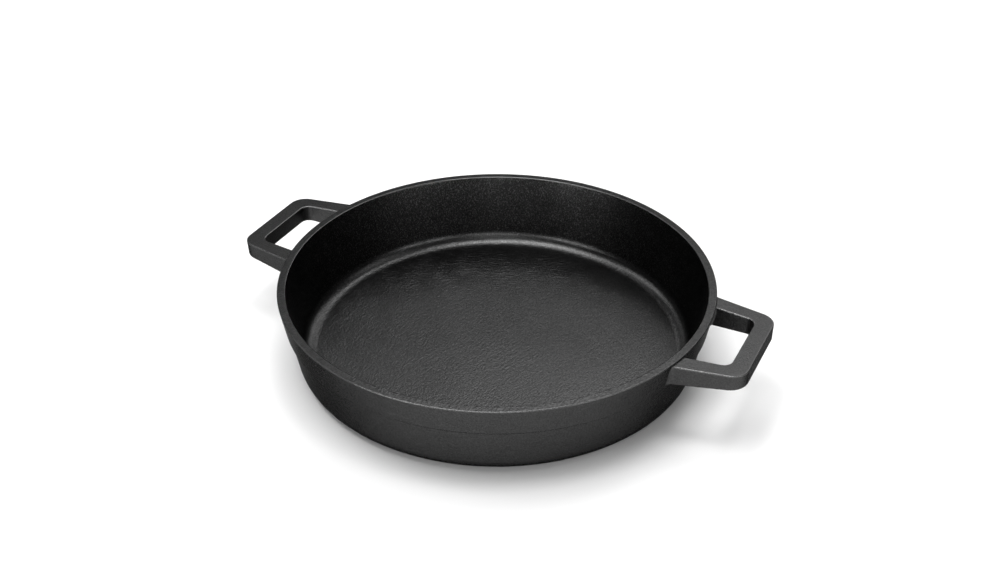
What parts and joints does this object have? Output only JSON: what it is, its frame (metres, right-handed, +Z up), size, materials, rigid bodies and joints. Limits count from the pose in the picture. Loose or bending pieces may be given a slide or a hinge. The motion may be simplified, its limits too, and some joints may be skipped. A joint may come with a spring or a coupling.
{
  "type": "cast iron pan with loop handles",
  "caption": "Round shallow cast iron pan with a drafted wall, flat rim, coved floor and square loop handles on opposite sides, for frying, roasting and serving.",
  "frame": {"origin": "centre of the flat base, on the surface the pan stands on", "axes": "+Z up out of the open top; +X and -X out through the two handles"},
  "size_m": [0.3494, 0.2802, 0.053],
  "materials": {
    "iron_pan": "seasoned black, satin, fine sand-cast grain, leathery floor",
    "iron_handles": "seasoned black, satin, fine sand-cast grain"
  },
  "bodies": {
    "root": {"pan_body": "iron_pan", "handle_right": "iron_handles", "handle_left": "iron_handles"}
  },
  "joints": []
}
